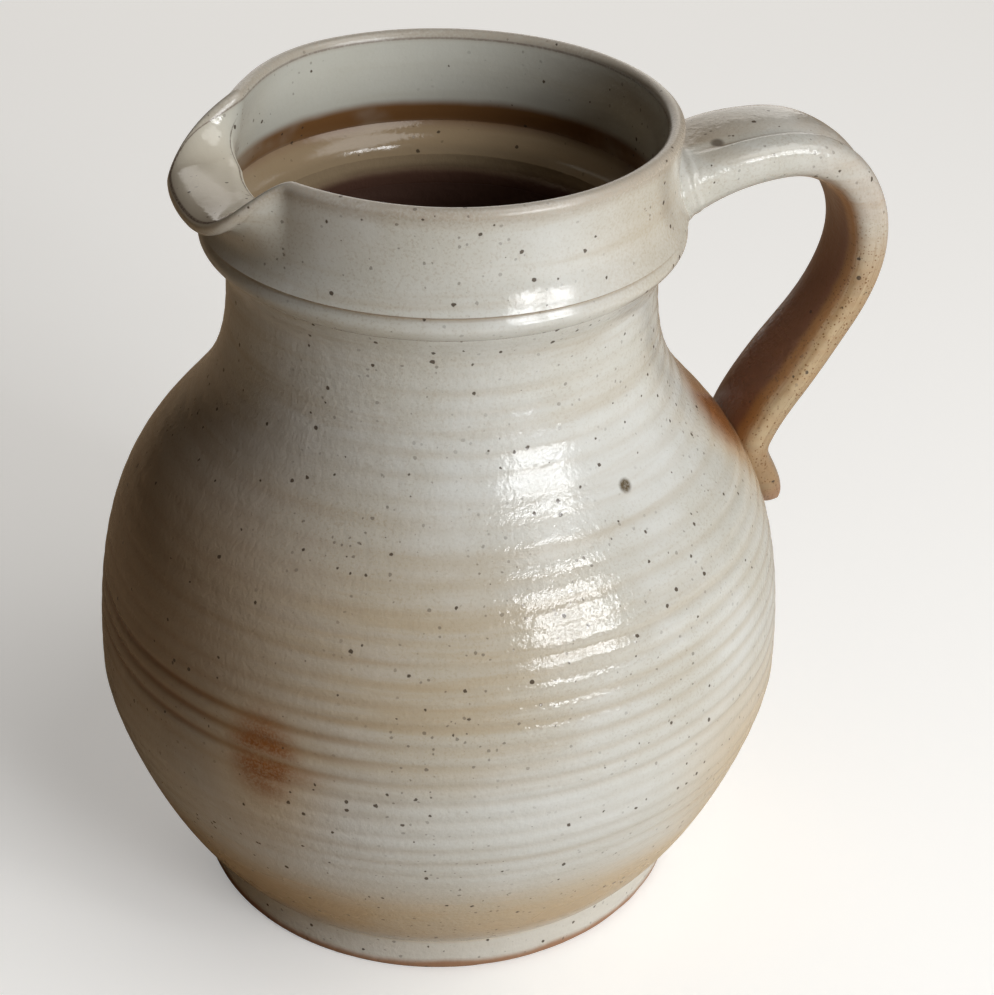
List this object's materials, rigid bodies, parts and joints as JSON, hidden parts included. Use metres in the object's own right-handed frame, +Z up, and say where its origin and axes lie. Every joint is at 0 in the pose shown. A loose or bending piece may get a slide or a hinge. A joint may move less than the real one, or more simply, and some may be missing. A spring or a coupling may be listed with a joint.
{
  "type": "stoneware pitcher",
  "caption": "Wheel-thrown stoneware pitcher with a round belly, grooved collar, pulled pouring lip, strap handle and turned foot ring, for serving drinks.",
  "frame": {"origin": "centre of the foot's standing ring, on the table", "axes": "+Z up the axis of the wheel, +X towards the handle, -X towards the pouring lip"},
  "size_m": [0.2035, 0.1784, 0.21],
  "materials": {
    "body_glaze": "glossy grey-cream glaze over iron-speckled stoneware",
    "lip_glaze": "glossy grey-cream glaze, thin and brown at the edge",
    "handle_glaze": "glossy glaze, cream above and ochre below",
    "foot_clay": "glazed band over a bare brown standing ring"
  },
  "bodies": {
    "root": {"foot_ring": "foot_clay", "thrown_body": "body_glaze", "neck_collar": "body_glaze", "pouring_lip": "lip_glaze", "strap_handle": "handle_glaze", "handle_root": "body_glaze", "handle_tail": "handle_glaze"}
  },
  "joints": []
}
